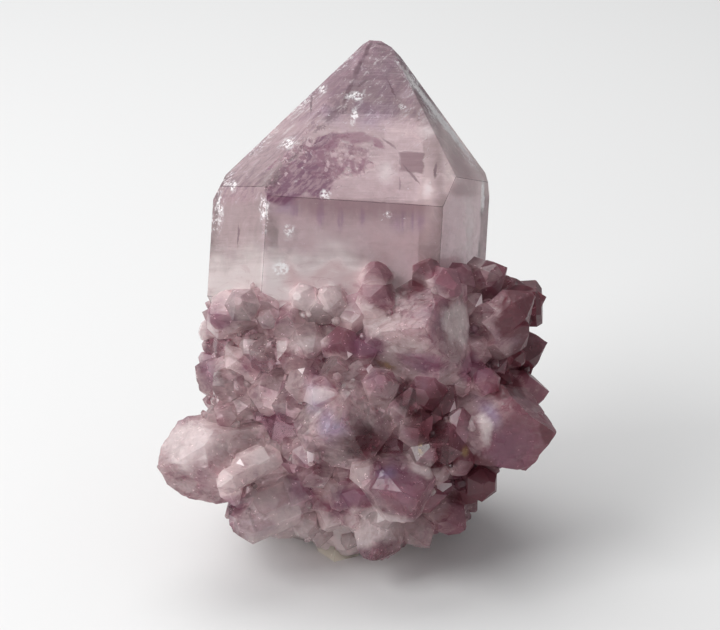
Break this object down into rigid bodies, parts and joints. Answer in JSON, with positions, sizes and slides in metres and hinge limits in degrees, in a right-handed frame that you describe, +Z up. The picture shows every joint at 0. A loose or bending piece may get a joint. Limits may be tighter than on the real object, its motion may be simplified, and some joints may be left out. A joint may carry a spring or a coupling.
{
  "type": "spirit quartz crystal",
  "caption": "Spirit quartz specimen: one clear mauve quartz point whose lower half is coated all round with short amethyst crystals; a display mineral that leans back on a flat base",
  "frame": {"origin": "middle of the bounding box in X and Y, on the flat base in Z", "axes": "+Z up from the base; the large crystal leans back toward +Y by 22 degrees and toward +X by 3.5 degrees; -Y is the front, with the large face and the large side crystals"},
  "size_m": [0.039, 0.0368, 0.0481],
  "materials": {
    "amethyst": "vitreous natural crystal faces, clear to milky, pale mauve with darker purple in the coat"
  },
  "bodies": {
    "root": {"spirit_quartz": "amethyst"}
  },
  "joints": []
}
